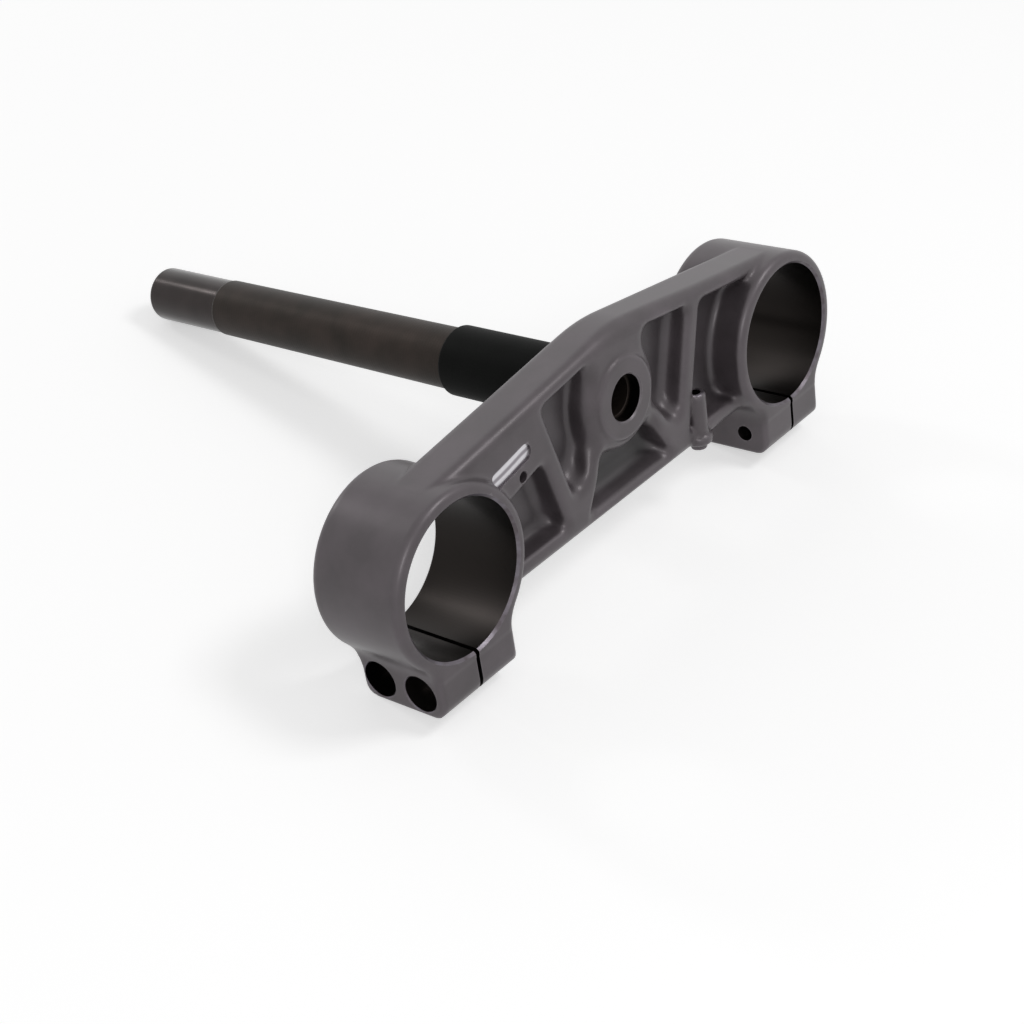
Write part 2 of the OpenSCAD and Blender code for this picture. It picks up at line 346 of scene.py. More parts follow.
def pocketFields(x, y, z, v):
    # all the pockets together: two inner, two outer and the centre one, kept clear of the hub
    rear, rib, spoke = clampLines(v)
    lean = v["lean"]
    rearIn = shifted(rear, v["rearWall"])
    ribIn, ribOut = shifted(rib, v["ribWidth"] / 2), shifted(rib[::-1], v["ribWidth"] / 2)
    spokeIn, spokeOut = shifted(spoke, v["spokeWidth"] / 2), shifted(spoke[::-1], v["spokeWidth"] / 2)
    ringIn = [[upright["forkX"], 0], [upright["forkX"], 1]]
    hubIn = v["hub"] - v["hubOverlap"]
    inner = pocketField([(rearIn, lean), (ribIn, lean), (frontWall(v["barFront"] - v["innerLand"]), v["rampLean"]),
                         (spokeOut, lean), ([[hubIn, 0], [hubIn, -1]], 0)], np.abs(x), y, z, v)
    outerWalls = [(ringIn, 0), (frontWall(v["barFront"] - v["outerRim"]), lean), (ribOut, lean)]
    rightOuter = pocketField([(rearIn, lean)] + outerWalls, x, y, z, v)
    land = [[v["ribRear"], v["landInner"]], [upright["forkX"] - v["ringRadius"], v["landOuter"]]]
    leftOuter = pocketField([(land, lean)] + outerWalls, -x, y, z, v)
    mirrored = [[-p[0], p[1]] for p in spokeIn[::-1]]
    centre = pocketField([([[-1, hubIn], [1, hubIn]], 0), (spokeIn, lean),
                          (frontWall(v["barFront"] - v["centreRim"]), v["centreLean"]),
                          (mirrored, lean)], x, y, z, v)
    pockets = np.minimum(np.minimum(inner, rightOuter), np.minimum(leftOuter, centre))
    return softMax(pockets, v["hub"] - np.hypot(x, y), v["hubBlend"])


def ringsField(x, y, z, v):
    # fork rings and pinch ears; the top falls from the rings to the ears as 3 f^2 - 2 f^3
    across, ahead = np.abs(x) - upright["forkX"], y - upright["forkY"]
    ring = np.hypot(across, ahead) - v["ringRadius"]
    ear = np.maximum(roundedBox(across, ahead, v["earHalf"], v["earReach"], v["earCorner"]), -ahead)
    f = rise(ahead, v["earFallFrom"], v["earFallOver"])
    top = upright["ringHeight"] - (upright["ringHeight"] - v["earTop"]) * f * f * (3 - 2 * f)
    rings = prism(softMin(ring, ear, v["earBlend"]), -z, z - top, v["ringEdge"])
    middle = v["earTop"] / 2
    nose = roundedBox(ahead, z - middle, v["earReach"], middle, np.where(z > middle, v["earRound"], v["earFoot"]))
    return softMax(rings, np.where(ahead > v["noseFrom"], nose, v["wellInside"]), v["noseBlend"])


def barField(x, y, z, rear, v):
    # the bar with its collar and pockets; the two rear edges meet in a soft swell behind the hub
    bar = softMax(beside(rear, x, y), beside(rear, -x, y), v["swellBlend"])
    bar = softMax(bar, y - v["barFront"], v["frontBlend"])
    # it stops on the radius where its rear edge touches the ring, so the two run on without a step
    centre = [upright["forkX"], upright["forkY"]]
    bar = np.maximum(bar, beside([rear[1], centre], np.abs(x), y))
    # easing the front edge against itself once more sets it back by a quarter of that width
    bar = softMax(bar, y - v["barFront"], v["frontTrim"])
    # the lower rear edge is rounder over the swell
    rounder = (bell(x, v["edgeMiddle"], v["edgeWidth"]) * fall(y, v["edgeUntilY"], v["edgeOverY"])
               * fall(z, v["edgeUntilZ"], v["edgeOverZ"]))
    bar = prism(bar, v["ribs"] - z, z - upright["barTop"], v["barEdge"] + v["swellEdge"] * rounder)
    fromHub = np.hypot(x, y)
    collar = prism(fromHub - v["collar"], v["ribs"] - v["collarHeight"] - z,
                   z - upright["barTop"] + v["collarSunk"], v["collarEdge"])
    bar = softMin(bar, collar, v["collarBlend"])
    # the mouths of the pockets are rounder beside the hub
    mouth = v["mouthRound"] + v["hubRound"] * bell(fromHub, v["hub"], v["hubRoundWidth"])
    return softMax(bar, -pocketFields(x, y, z, v), mouth)


def bossField(x, y, z, v):
    across = np.hypot(x - v["bossX"], z - v["bossZ"])
    shank = prism(across - v["bossRadius"], v["bossRear"] - y,
                  y - v["bossStep"] - v["bossOverlap"], v["bossRound"])
    foot = prism(across - v["bossFoot"], v["bossStep"] - y, y - v["barFront"], v["bossRound"])
    stub = prism(across - v["bossStub"], v["barFront"] - v["stubSunk"] - y, y - v["bossEnd"], v["stubRound"])
    return np.minimum(np.minimum(shank, foot), stub)


def castingField(x, y, z):
    # signed distance to the casting before machining, below zero inside
    v = castClamp
    rear = clampLines(v)[0]
    # bar and rings blend softly, except at the rear edge, where they run on as tangents
    inwards = rise(-beside(rear, np.abs(x), y), v["blendFrom"], v["blendOver"])
    body = softMin(ringsField(x, y, z, v), barField(x, y, z, rear, v),
                   v["barBlend"] * np.maximum(inwards, v["blendLeast"]))
    return softMin(body, bossField(x, y, z, v), v["bossBlend"])


def surfaceNet(field, low, high, step):
    # one vertex in each cell that the surface crosses, at the mean of its edge crossings,
    # and one quad round each grid edge that it crosses
    axes = [np.arange(low[i], high[i] + step, step) for i in range(3)]
    d = field(*np.meshgrid(*axes, indexing="ij"))
    size = np.array(d.shape) - 1
    total = np.zeros((*size, 3))
    count = np.zeros(size)
    crossings = []
    for axis in range(3):
        start = [slice(None)] * 3
        end = [slice(None)] * 3
        start[axis] = slice(0, -1)
        end[axis] = slice(1, None)
        a, b = d[tuple(start)], d[tuple(end)]
        cross = (a < 0) != (b < 0)
        share = np.where(cross, a / np.where(a == b, 1, a - b), 0)
        crossings.append((cross, a < 0))
        u, w = [k for k in range(3) if k != axis]
        for du in (0, 1):
            for dw in (0, 1):
                pick = [slice(None)] * 3
                pick[u] = slice(du, du + size[u])
                pick[w] = slice(dw, dw + size[w])
                hit = cross[tuple(pick)]
                count += hit
                place = np.zeros((*size, 3))
                place[..., axis] = share[tuple(pick)]
                place[..., u] = du
                place[..., w] = dw
                total += place * hit[..., None]
    active = count > 0
    index = np.full(active.shape, -1)
    index[active] = np.arange(active.sum())
    points = (np.argwhere(active) + total[active] / count[active][:, None]) * step + np.array(low)
    quads = []
    for axis, (cross, inside) in enumerate(crossings):
        u, w = (axis + 1) % 3, (axis + 2) % 3
        at = np.argwhere(cross)
        at = at[(at[:, u] > 0) & (at[:, w] > 0) & (at[:, u] < size[u]) & (at[:, w] < size[w])]
        outwards = inside[tuple(at.T)]
        ring = []
        for du, dw in ((-1, -1), (0, -1), (0, 0), (-1, 0)):
            c = at.copy()
            c[:, u] += du
            c[:, w] += dw
            ring.append(index[tuple(c.T)])
        ring = np.stack(ring, axis=1)
        quads.append(np.where(outwards[:, None], ring, ring[:, ::-1]))
    return points, np.concatenate(quads)


def settled(field, points, limit):
    # each point slides along the field's slope on to the surface: p - d grad d / |grad d|^2,
    # three times, and never further than the limit at once
    reach, leastSlope = 0.02, 0.25
    for _ in range(3):
        x, y, z = points.T
        d = field(x, y, z)
        slope = np.stack([field(x + reach, y, z) - field(x - reach, y, z),
                          field(x, y + reach, z) - field(x, y - reach, z),
                          field(x, y, z + reach) - field(x, y, z - reach)], axis=1) / (2 * reach)
        move = -d[:, None] * slope / np.maximum((slope ** 2).sum(1), leastSlope)[:, None]
        length = np.linalg.norm(move, axis=1, keepdims=True)
        points = points + move * np.minimum(1, limit / np.maximum(length, 1e-9))
    return points


def addPiece(name, points, faces):
    mesh = bpy.data.meshes.new(name)
    mesh.from_pydata(layDown(points).tolist(), [], faces)
    piece = bpy.data.objects.new(name, mesh)
    bpy.context.scene.collection.objects.link(piece)
    return piece


def faceOutwards(mesh):
    bm = bmesh.new()
    bm.from_mesh(mesh)
    bmesh.ops.recalc_face_normals(bm, faces=bm.faces)
    bm.to_mesh(mesh)
    bm.free()


machining = {  # mm
    "past": 1.0,  # how far a chamfering cone runs on beyond the surface
    "forkChamfer": 1.0, "slit": 1.8, "slitFrom": 20.0, "slitEnd": 72.0, "slitPast": 2.0,
    "headBore": 7.3, "headDepth": 8.5, "headChamfer": 0.4, "clearance": 4.3, "tap": 3.4, "boltPast": 3.0,
    "hubHole": 9.2, "hubFlare": 3.4, "hubMouth": 4.6, "stemSeat": 13.5, "seatFrom": 9.3, "seatPast": 2.0,
    "bossBore": 2.5, "bossChamfer": 0.3,
    "landHole": {"x": -61.4, "y": 2.8, "radius": 2.1, "depth": 10.0, "chamfer": 0.4},
    "flat": {"x": -67.4, "y": -4.2, "length": 24.0, "width": 7.0, "turn": 11.0, "depth": 0.9, "arcPoints": 17},
    "forkAround": 144, "boltAround": 64, "hubAround": 96, "smallAround": 40,
}


def turnedCutter(profile, origin, axis, around):
    # a closed solid of revolution: the profile (r, s) round the line from origin along axis
    r, s = np.array(profile, float).T
    axis = np.array(axis, float) / np.linalg.norm(axis)
    u = np.cross(axis, [0.3, 0.5, 0.8])  # any direction that isn't along an axis
    u /= np.linalg.norm(u)
    w = np.cross(axis, u)
    a = np.linspace(0, 2 * np.pi, around, endpoint=False)
    spin = np.cos(a)[:, None] * u + np.sin(a)[:, None] * w
    points = np.array(origin) + r[:, None, None] * spin + s[:, None, None] * axis
    rows = len(r)
    i, j = np.meshgrid(np.arange(rows - 1), np.arange(around), indexing="ij")
    k = (j + 1) % around
    faces = np.stack([i * around + j, i * around + k, (i + 1) * around + k, (i + 1) * around + j], -1)
    caps = [list(range(around))[::-1], [(rows - 1) * around + n for n in range(around)]]
    return points.reshape(-1, 3), faces.reshape(-1, 4).tolist() + caps


def boxCutter(low, high):
    x0, y0, z0 = low
    x1, y1, z1 = high
    points = [(x0, y0, z0), (x1, y0, z0), (x1, y1, z0), (x0, y1, z0),
              (x0, y0, z1), (x1, y0, z1), (x1, y1, z1), (x0, y1, z1)]
    faces = [[0, 3, 2, 1], [4, 5, 6, 7], [0, 1, 5, 4], [1, 2, 6, 5], [2, 3, 7, 6], [3, 0, 4, 7]]
    return np.array(points, float), faces


def flatCutter(flat):
    # a slot cutter: two half circles joined by straight sides, carried from below up to its depth
    a = np.linspace(-np.pi / 2, np.pi / 2, flat["arcPoints"])
    r, run = flat["width"] / 2, (flat["length"] - flat["width"]) / 2
    right = np.stack([run + r * np.cos(a), r * np.sin(a)], -1)
    outline = np.concatenate([right, -right])
    t = math.radians(-flat["turn"])
    spin = np.array([[math.cos(t), math.sin(t)], [-math.sin(t), math.cos(t)]])
    outline = outline @ spin + [flat["x"], flat["y"]]
    n = len(outline)
    points = np.concatenate([np.column_stack([outline, np.full(n, z)])
                             for z in (0.0, castClamp["ribs"] + flat["depth"])])
    i = np.arange(n)
    sides = np.stack([i, (i + 1) % n, (i + 1) % n + n, i + n], -1).tolist()
    return points, sides + [list(range(n))[::-1], [n + k for k in range(n)]]


def boreProfile(radius, low, high, chamfer, past):
    # a bore between two levels, with a 45 degree chamfer at each mouth that runs on past it
    wide = radius + chamfer + past
    return [(wide, low - past), (radius, low + chamfer), (radius, high - chamfer), (wide, high + past)]


def cutterGroups(v):
    # the machining in the order of the shop: bores and drilled holes, then slits, then bolt holes
    h, fork, half, ribs = upright["ringHeight"], upright["forkBore"] / 2, castClamp["earHalf"], castClamp["ribs"]
    forkProfile = boreProfile(fork, 0, h, v["forkChamfer"], v["past"])
    shoulder, lip, past = half - v["headDepth"], v["headBore"] + v["headChamfer"], v["boltPast"]
    boltProfile = [(v["tap"], -half - past), (v["tap"], 0), (v["clearance"], 0), (v["clearance"], shoulder),
                   (v["headBore"], shoulder), (v["headBore"], half - v["headChamfer"]), (lip + past, half + past)]
    bores, slits, bolts = [], [], []
    for side in (-1, 1):
        x, y = side * upright["forkX"], upright["forkY"]
        bores.append(turnedCutter(forkProfile, (x, y, 0), (0, 0, 1), v["forkAround"]))
        slits.append(boxCutter((x - v["slit"] / 2, y + v["slitFrom"], -v["slitPast"]),
                               (x + v["slit"] / 2, v["slitEnd"], h + v["slitPast"])))
        for level in (-1, 1):
            z = h / 2 + level * upright["boltSpacing"] / 2
            bolts.append(turnedCutter(boltProfile, (x, y + upright["boltAhead"], z), (side, 0, 0),
                                      v["boltAround"]))
    hubProfile = [(v["hubHole"] + v["hubFlare"], v["hubMouth"] - v["hubFlare"]), (v["hubHole"], v["hubMouth"]),
                  (v["hubHole"], v["seatFrom"]), (v["stemSeat"], v["seatFrom"]),
                  (v["stemSeat"], upright["barTop"] + v["seatPast"])]
    bores.append(turnedCutter(hubProfile, (0, 0, 0), (0, 0, 1), v["hubAround"]))
    hole = v["landHole"]
    blind = boreProfile(hole["radius"], ribs, ribs, hole["chamfer"], v["past"])[:2]
    blind.append((hole["radius"], ribs + hole["depth"]))
    bores.append(turnedCutter(blind, (hole["x"], hole["y"], 0), (0, 0, 1), v["smallAround"]))
    hose = boreProfile(v["bossBore"], castClamp["bossRear"], castClamp["bossEnd"], v["bossChamfer"], v["past"])
    bores.append(turnedCutter(hose, (castClamp["bossX"], 0, castClamp["bossZ"]), (0, 1, 0), v["smallAround"]))
    bores.append(flatCutter(v["flat"]))
    return {"bores": bores, "slits": slits, "boltHoles": bolts}


def machine(piece, group, name):
    # one boolean cut by all the cutters of a group together
    points, faces, base = [], [], 0
    for p, f in group:
        points.append(p)
        faces += [[k + base for k in face] for face in f]
        base += len(p)
    cutter = addPiece(name, np.concatenate(points), faces)
    faceOutwards(cutter.data)
    cut = piece.modifiers.new(name, "BOOLEAN")
    cut.operation = "DIFFERENCE"
    cut.solver = "MANIFOLD"
    cut.object = cutter
    result = bpy.data.meshes.new_from_object(piece.evaluated_get(bpy.context.evaluated_depsgraph_get()))
    piece.modifiers.clear()
    old = piece.data
    piece.data = result
    bpy.data.meshes.remove(old)
    bpy.data.objects.remove(cutter)


surfaceMarks = {  # mm and degrees, upright frame; how near a face lies to what machined it
    "bored": 1, "milled": 2, "chamfered": 3,  # material index, 0 is the cast skin
    "squarely": 0.9, "slanting": 0.5, "flatly": 0.99,  # share of a face's normal that looks at its tool's axis
    "forkSlack": 0.1, "forkLip": 1.3, "boltSlack": 0.2, "boltLip": 1.5, "slitSlack": 0.2, "hubSlack": 0.2,
    "hoseSlack": 0.05, "hoseLip": 1.4, "hoseLipMiddle": 0.6, "hoseLipHalf": 0.8, "hoseAhead": 0.5,
    "flatSlack": 0.02, "flatReach": 1.0,
    "earFromX": 80.0, "earFromY": 45.0, "earInside": 20.0,
    # painted shade in the pockets: the pocket under the hub gets the most, the others a share of it
    "nearWall": 1.92, "nearOver": 1.2, "centreY": 14.0, "centreX": 26.0, "centreOver": 6.0, "elsewhere": 0.42,
    # painted light patch on the bore walls: either side of the slit, near the lower mouth of a bore
    "patchAngle": 29.0, "patchAngleWidth": 15.0, "patchTop": 30.0, "patchOver": 16.0,
}


def lookingAt(a, b, normalA, normalB):
    # distance from an axis, and the share of the face's normal that looks at it
    radius = np.hypot(a, b)
    return radius, -(normalA * a + normalB * b) / np.maximum(radius, 1e-6)


def markSurfaces(piece, m):
    # material index of each face, from its place and normal
    mesh = piece.data
    count = len(mesh.polygons)
    centres = np.empty(count * 3)
    normals = np.empty(count * 3)
    mesh.polygons.foreach_get("center", centres)
    mesh.polygons.foreach_get("normal", normals)
    x, y, z = standUp(centres.reshape(-1, 3)).T
    nx, ny, nz = (standUp(normals.reshape(-1, 3) / 1000) - [0, 0, upright["barTop"]]).T
    kind = np.zeros(count, np.int32)

    across = x - np.where(x < 0, -1, 1) * upright["forkX"]
    radius, inwards = lookingAt(across, y - upright["forkY"], nx, ny)
    wall = (radius < upright["forkBore"] / 2 + m["forkSlack"]) & (inwards > m["squarely"])
    kind[(radius < upright["forkBore"] / 2 + m["forkLip"]) & (inwards > m["slanting"])] = m["chamfered"]
    kind[wall] = m["bored"]

    ear = (np.abs(x) > m["earFromX"]) & (y > m["earFromY"])
    sideways = np.abs(nx) > m["squarely"]
    for level in (-1, 1):
        boltZ = upright["ringHeight"] / 2 + level * upright["boltSpacing"] / 2
        radius, inwards = lookingAt(y - upright["forkY"] - upright["boltAhead"], z - boltZ, ny, nz)
        kind[ear & (radius < machining["headBore"] + m["boltLip"]) & (inwards > m["slanting"])] = m["chamfered"]
        seat = sideways & (np.abs(across) < m["earInside"])
        wall = ear & (radius < machining["headBore"] + m["boltSlack"]) & ((inwards > m["squarely"]) | seat)
        kind[wall] = m["bored"]
    slit = sideways & (np.abs(across) < machining["slit"] / 2 + m["slitSlack"]) & (y > m["earFromY"])
    kind[slit] = m["bored"]

    hose = np.hypot(x - castClamp["bossX"], z - castClamp["bossZ"])
    mouth = np.abs(y - castClamp["bossRear"] - m["hoseLipMiddle"]) < m["hoseLipHalf"]
    kind[(hose < machining["bossBore"] + m["hoseLip"]) & mouth] = m["chamfered"]
    ahead = y > castClamp["bossRear"] - m["hoseAhead"]
    kind[(hose < machining["bossBore"] + m["hoseSlack"]) & ahead] = m["bored"]

    radius, inwards = lookingAt(x, y, nx, ny)
    kind[(radius < machining["stemSeat"] + m["hubSlack"]) & (inwards > m["squarely"])] = m["bored"]

    flat = machining["flat"]
    level = np.abs(z - castClamp["ribs"] - flat["depth"]) < m["flatSlack"]
    inReach = np.hypot(x - flat["x"], y - flat["y"]) < flat["length"] / 2 + m["flatReach"]
    kind[level & inReach & (nz < -m["flatly"])] = m["milled"]
    mesh.polygons.foreach_set("material_index", kind)
    mesh.polygons.foreach_set("use_smooth", np.ones(count, bool))
    mesh.update()


def markWear(piece, m):
    # vertex attributes for the materials: a painted light patch in the bores, and painted pocket shade, 0 on the
    # ribs and 1 deep down
    mesh = piece.data
    corners = np.empty(len(mesh.vertices) * 3)
    mesh.vertices.foreach_get("co", corners)
    x, y, z = standUp(corners.reshape(-1, 3)).T
    # a painted light patch on the bore walls, either side of the slit and fading upwards
    fromFork = x - np.where(x < 0, -1, 1) * upright["forkX"]
    patchAngle = np.degrees(np.abs(np.arctan2(fromFork, y - upright["forkY"])))
    boreLightPatch = bell(patchAngle, m["patchAngle"], m["patchAngleWidth"]) * fall(z, m["patchTop"], m["patchOver"])
    # painted pocket shade: darker with depth and near the pocket walls, most in the centre pocket under the hub
    depth = rise(z, castClamp["ribs"], castClamp["pocketDepth"])
    near = fall(pocketFields(x, y, z, castClamp), m["nearWall"], m["nearOver"])
    centre = rise(y, m["centreY"], m["centreOver"]) * fall(np.abs(x), m["centreX"], m["centreOver"])
    pocketShade = depth ** 2 * near * (m["elsewhere"] + (1 - m["elsewhere"]) * centre)
    for name, values in (("boreLightPatch", boreLightPatch), ("pocketShade", pocketShade)):
        mesh.attributes.new(name, "FLOAT", "POINT").data.foreach_set("value", values)


def smoothUpTo(piece, degrees):
    # round shading up to that bend, and a crisp edge where a cutter left one
    for other in bpy.context.selected_objects:
        other.select_set(False)
    bpy.context.view_layer.objects.active = piece
    piece.select_set(True)
    bpy.ops.object.shade_smooth_by_angle(angle=math.radians(degrees))


netPoints, netQuads = surfaceNet(castingField, castClamp["netLow"], castClamp["netHigh"], castClamp["step"])
netPoints = settled(castingField, netPoints, castClamp["step"])
clampBody = addPiece("clampBody", netPoints, netQuads.tolist())
print("cast surface:", len(netQuads), "quads")
for cutName, cutGroup in cutterGroups(machining).items():
    machine(clampBody, cutGroup, cutName)
    print(cutName, "cut:", len(clampBody.data.polygons), "faces")
clampBody.data.materials.clear()
markSurfaces(clampBody, surfaceMarks)
markWear(clampBody, surfaceMarks)
smoothUpTo(clampBody, 36)
print("surfaces marked")

# turned stem and its sleeve

turnedStem = {  # mm
    "foot": 9.3, "press": 13.5, "root": 12.65, "sleeveEnd": 87.0,
    "tip": 12.2, "journalStart": 220.3, "journalStep": 0.5, "journal": 11.8, "end": 264.3,
    "chamfer": 2.4, "bore": 8.0, "around": 160,
}
blackSleeve = {"inner": 12.7, "outer": 14.4, "to": 87.0, "chamfer": 1.2, "around": 160}  # mm


def lathe(name, profile, around):
    # each profile point (r, z) goes once round the steering axis: x = r cos a, y = r sin a
    r, z = np.array(profile, float).T
    a = np.linspace(0, 2 * np.pi, around, endpoint=False)
    points = np.stack([r[:, None] * np.cos(a), r[:, None] * np.sin(a), z[:, None] + 0 * a], axis=-1)
    rows = len(r)
    i = np.arange(rows)[:, None]
    j = np.arange(around)[None, :]
    iNext, jNext = (i + 1) % rows, (j + 1) % around
    faces = np.stack([i * around + j, i * around + jNext, iNext * around + jNext, iNext * around + j], axis=-1)
    piece = addPiece(name, points.reshape(-1, 3), faces.reshape(-1, 4).tolist())
    piece.data.validate()
    piece.data.polygons.foreach_set("use_smooth", np.ones(len(piece.data.polygons), bool))
    faceOutwards(piece.data)
    return piece


def roundedProfile(corners, steps=4):
    # a closed profile whose corner (r, z, radius) becomes an arc: quadratic between its tangent points
    c = np.array(corners, float)
    before = np.roll(c, 1, axis=0)[:, :2] - c[:, :2]
    after = np.roll(c, -1, axis=0)[:, :2] - c[:, :2]
    before /= np.linalg.norm(before, axis=1, keepdims=True)
    after /= np.linalg.norm(after, axis=1, keepdims=True)
    t = np.linspace(0, 1, steps + 1)[None, :, None]
    p0 = (c[:, :2] + before * c[:, 2:])[:, None, :]
    p2 = (c[:, :2] + after * c[:, 2:])[:, None, :]
    arcs = (1 - t) ** 2 * p0 + 2 * t * (1 - t) * c[:, None, :2] + t ** 2 * p2
    return arcs.reshape(-1, 2)


def makeStem(v):
    # each corner has its radius from the axis, its height and its own rounding
    corners = [
        (v["bore"], v["foot"], 0.4),
        (v["press"], v["foot"], 0.5),
        (v["press"], upright["barTop"], 0.3),
        (v["root"], upright["barTop"], 0.2),
        (v["root"], v["sleeveEnd"], 0.01),
        (v["tip"], v["journalStart"], 0.35),
        (v["journal"], v["journalStart"] + v["journalStep"], 0.15),
        (v["journal"], v["end"] - v["chamfer"], 0.9),
        (v["journal"] - v["chamfer"], v["end"], 0.7),
        (v["bore"], v["end"], 0.5),
    ]
    return lathe("stemShaft", roundedProfile(corners), v["around"])


def makeSleeve(v):
    corners = [
        (v["inner"], upright["barTop"], 0.1),
        (v["outer"], upright["barTop"], 0.1),
        (v["outer"], v["to"] - v["chamfer"], 0.6),
        (v["outer"] - v["chamfer"], v["to"], 0.5),
        (v["inner"], v["to"], 0.1),
    ]
    return lathe("stemSleeve", roundedProfile(corners), v["around"])


stemShaft = makeStem(turnedStem)
stemSleeve = makeSleeve(blackSleeve)
print("stem and sleeve turned")

# materials; a pair of colours is the dark and the light end of a pattern, a pair of stops its reach

castFinish = {
    "skin": ("#4d474a", "#585155"), "skinStops": (0.35, 0.68), "mottle": 16.0,  # mm
    "edgeWear": "#8c858b", "wearStops": (0.51, 0.57), "wearShare": 0.4,
    # dark oily residue that stays in the pockets
    # painted shade deep in the pockets, darkest in the centre one under the hub
    "paintedPocketShade": "#2c2a2b", "pocketStops": (0.15, 0.85), "pocketShare": 0.95,
    "grain": 0.55,  # mm; blasted skin is finer than this, drawn coarser so that it shows
    "metallic": 0.35, "roughness": (0.33, 0.45), "coat": 0.16, "coatRoughness": 0.28,
}
cutFinish = {
    # the bore tones are near black, painted shade inside the bores; the paler tone is a painted light patch on
    # their walls
    "bored": ("#1b1816", "#24201e"), "boreLightPatchTone": "#4a4543", "boredBands": 600.0,
    "milled": ("#8f8a90", "#d6d4d8"), "milledStops": (0.1, 0.75), "swath": 3.4,  # mm between swaths
    "chamfer": ("#585155", "#77727a"), "chamferStops": (0.35, 0.7), "chamferNoise": 220.0,
}
steelFinish = {
    "shaft": ("#26211d", "#342c28"), "journal": ("#2e2928", "#3b3534"), "patinaStops": (0.35, 0.7),
    "patina": 60.0, "toolMarks": 220.0, "roughness": (0.5, 0.22), "journalEdge": 0.0004,  # m
}
sleeveFinish = {"black": ("#060706", "#0b0c0b"), "cloud": 90.0, "cloudStops": (0.35, 0.7), "toolMarks": 240.0}


def anodisedCastAluminium(v):
    # cast aluminium, shot-blasted and hard-anodised: dark grey satin, a fine even grain,
    # slightly paler where edges have rubbed, and painted shade deep in the pockets
    mat = newMaterial("anodisedCastAluminium")
    place = objectCoordinates(mat)
    mottle = addNoise(mat, place, 1000 / v["mottle"], 3.0)
    tone = addRamp(mat, mottle, list(zip(v["skinStops"], v["skin"])))
    bend = (addNode(mat, "ShaderNodeNewGeometry"), "Pointiness")
    edge = addRamp(mat, bend, list(zip(v["wearStops"], (0.0, v["wearShare"]))))
    worn = addMix(mat, edge, tone, v["edgeWear"])
    # painted shade: darker deep in the pockets and near their walls, most in the centre pocket under the hub
    deep = (addNode(mat, "ShaderNodeAttribute", {"attribute_name": "pocketShade"}), "Fac")
    share = addRamp(mat, deep, list(zip(v["pocketStops"], (0.0, v["pocketShare"]))))
    colour = addMix(mat, share, worn, v["paintedPocketShade"])
    bump = addBump(mat, addNoise(mat, place, 1000 / v["grain"], 2.0), 0.15, 0.00006)
    rough = addNode(mat, "ShaderNodeMapRange", {"To Min": v["roughness"][0], "To Max": v["roughness"][1]},
                    {"Value": mottle})
    return addShader(mat, {"Metallic": v["metallic"], "Coat Weight": v["coat"],
                           "Coat Roughness": v["coatRoughness"]},
                     {"Base Color": colour, "Roughness": (rough, "Result"), "Normal": bump})


def boredAluminium(v):
    # the same metal bored to size and anodised: smoother, with fine rings from the boring bar, and near
    # black as painted shade inside the bores, with a paler patch either side of the slit as painted light
    mat = newMaterial("boredAluminium")
    rings = addBands(mat, steeringCoordinates(mat), "Z", v["boredBands"], 0.6, 1.0)
    # near-black tone: painted shade inside the bores
    tone = addRamp(mat, rings, list(zip((0.0, 1.0), v["bored"])))
    # paler patch: painted light on the bore walls
    lightPatch = (addNode(mat, "ShaderNodeAttribute", {"attribute_name": "boreLightPatch"}), "Fac")
    return addShader(mat, {"Metallic": 0.9, "Roughness": 0.3},
                     {"Base Color": addMix(mat, lightPatch, tone, v["boreLightPatchTone"]),
                      "Normal": addBump(mat, rings, 0.2, 0.00005)})


def milledAluminium(v):
    # aluminium milled after the coating: bare, pale and bright, with the broad swaths that an
    # end mill leaves along the flat
    mat = newMaterial("milledAluminium")
    along = turnedCoordinates(mat, steeringCoordinates(mat), (0, 0, math.radians(machining["flat"]["turn"])))
    swaths = addBands(mat, along, "Y", 314.0 / v["swath"], 0.8, 2.0)
    return addShader(mat, {"Metallic": 0.85, "Roughness": 0.36},
                     {"Base Color": addRamp(mat, swaths, list(zip(v["milledStops"], v["milled"]))),
                      "Normal": addBump(mat, swaths, 0.2, 0.0001)})


def chamferedAluminium(v):
    # the chamfer at the mouths of the bores, turned through the coating and rubbed: satin, a
    # little paler than the skin, unevenly worn
    mat = newMaterial("chamferedAluminium")
    worn = addNoise(mat, steeringCoordinates(mat), v["chamferNoise"], 3.0)
    return addShader(mat, {"Metallic": 0.7, "Roughness": 0.34},
                     {"Base Color": addRamp(mat, worn, list(zip(v["chamferStops"], v["chamfer"]))),
                      "Normal": addBump(mat, worn, 0.1, 0.00005)})


def turnedSteel(v):
    # a drawn steel tube turned between centres and oiled black-brown: rings of tool marks across
    # the shaft, and a ground, brighter journal at the free end
    mat = newMaterial("turnedSteel")
    turned = steeringCoordinates(mat)
    split = addNode(mat, "ShaderNodeSeparateXYZ", links={"Vector": turned})
    start = (turnedStem["journalStart"] - upright["barTop"]) / 1000
    step = addNode(mat, "ShaderNodeMapRange",
                   {"From Min": start - v["journalEdge"], "From Max": start + v["journalEdge"]},
                   {"Value": (split, "Z")})
    journal = (step, "Result")
    marks = addBands(mat, turned, "Z", v["toolMarks"], 0.8, 1.5)
    patina = addNoise(mat, turned, v["patina"], 3.0)
    shaftTone = addRamp(mat, patina, list(zip(v["patinaStops"], v["shaft"])))
    journalTone = addRamp(mat, patina, list(zip(v["patinaStops"], v["journal"])))
    rough = addNode(mat, "ShaderNodeMapRange", {"To Min": v["roughness"][0], "To Max": v["roughness"][1]},
                    {"Value": journal})
    return addShader(mat, {"Metallic": 0.8},
                     {"Base Color": addMix(mat, journal, shaftTone, journalTone), "Roughness": (rough, "Result"),
                      "Normal": addBump(mat, marks, 0.2, 0.00006)})


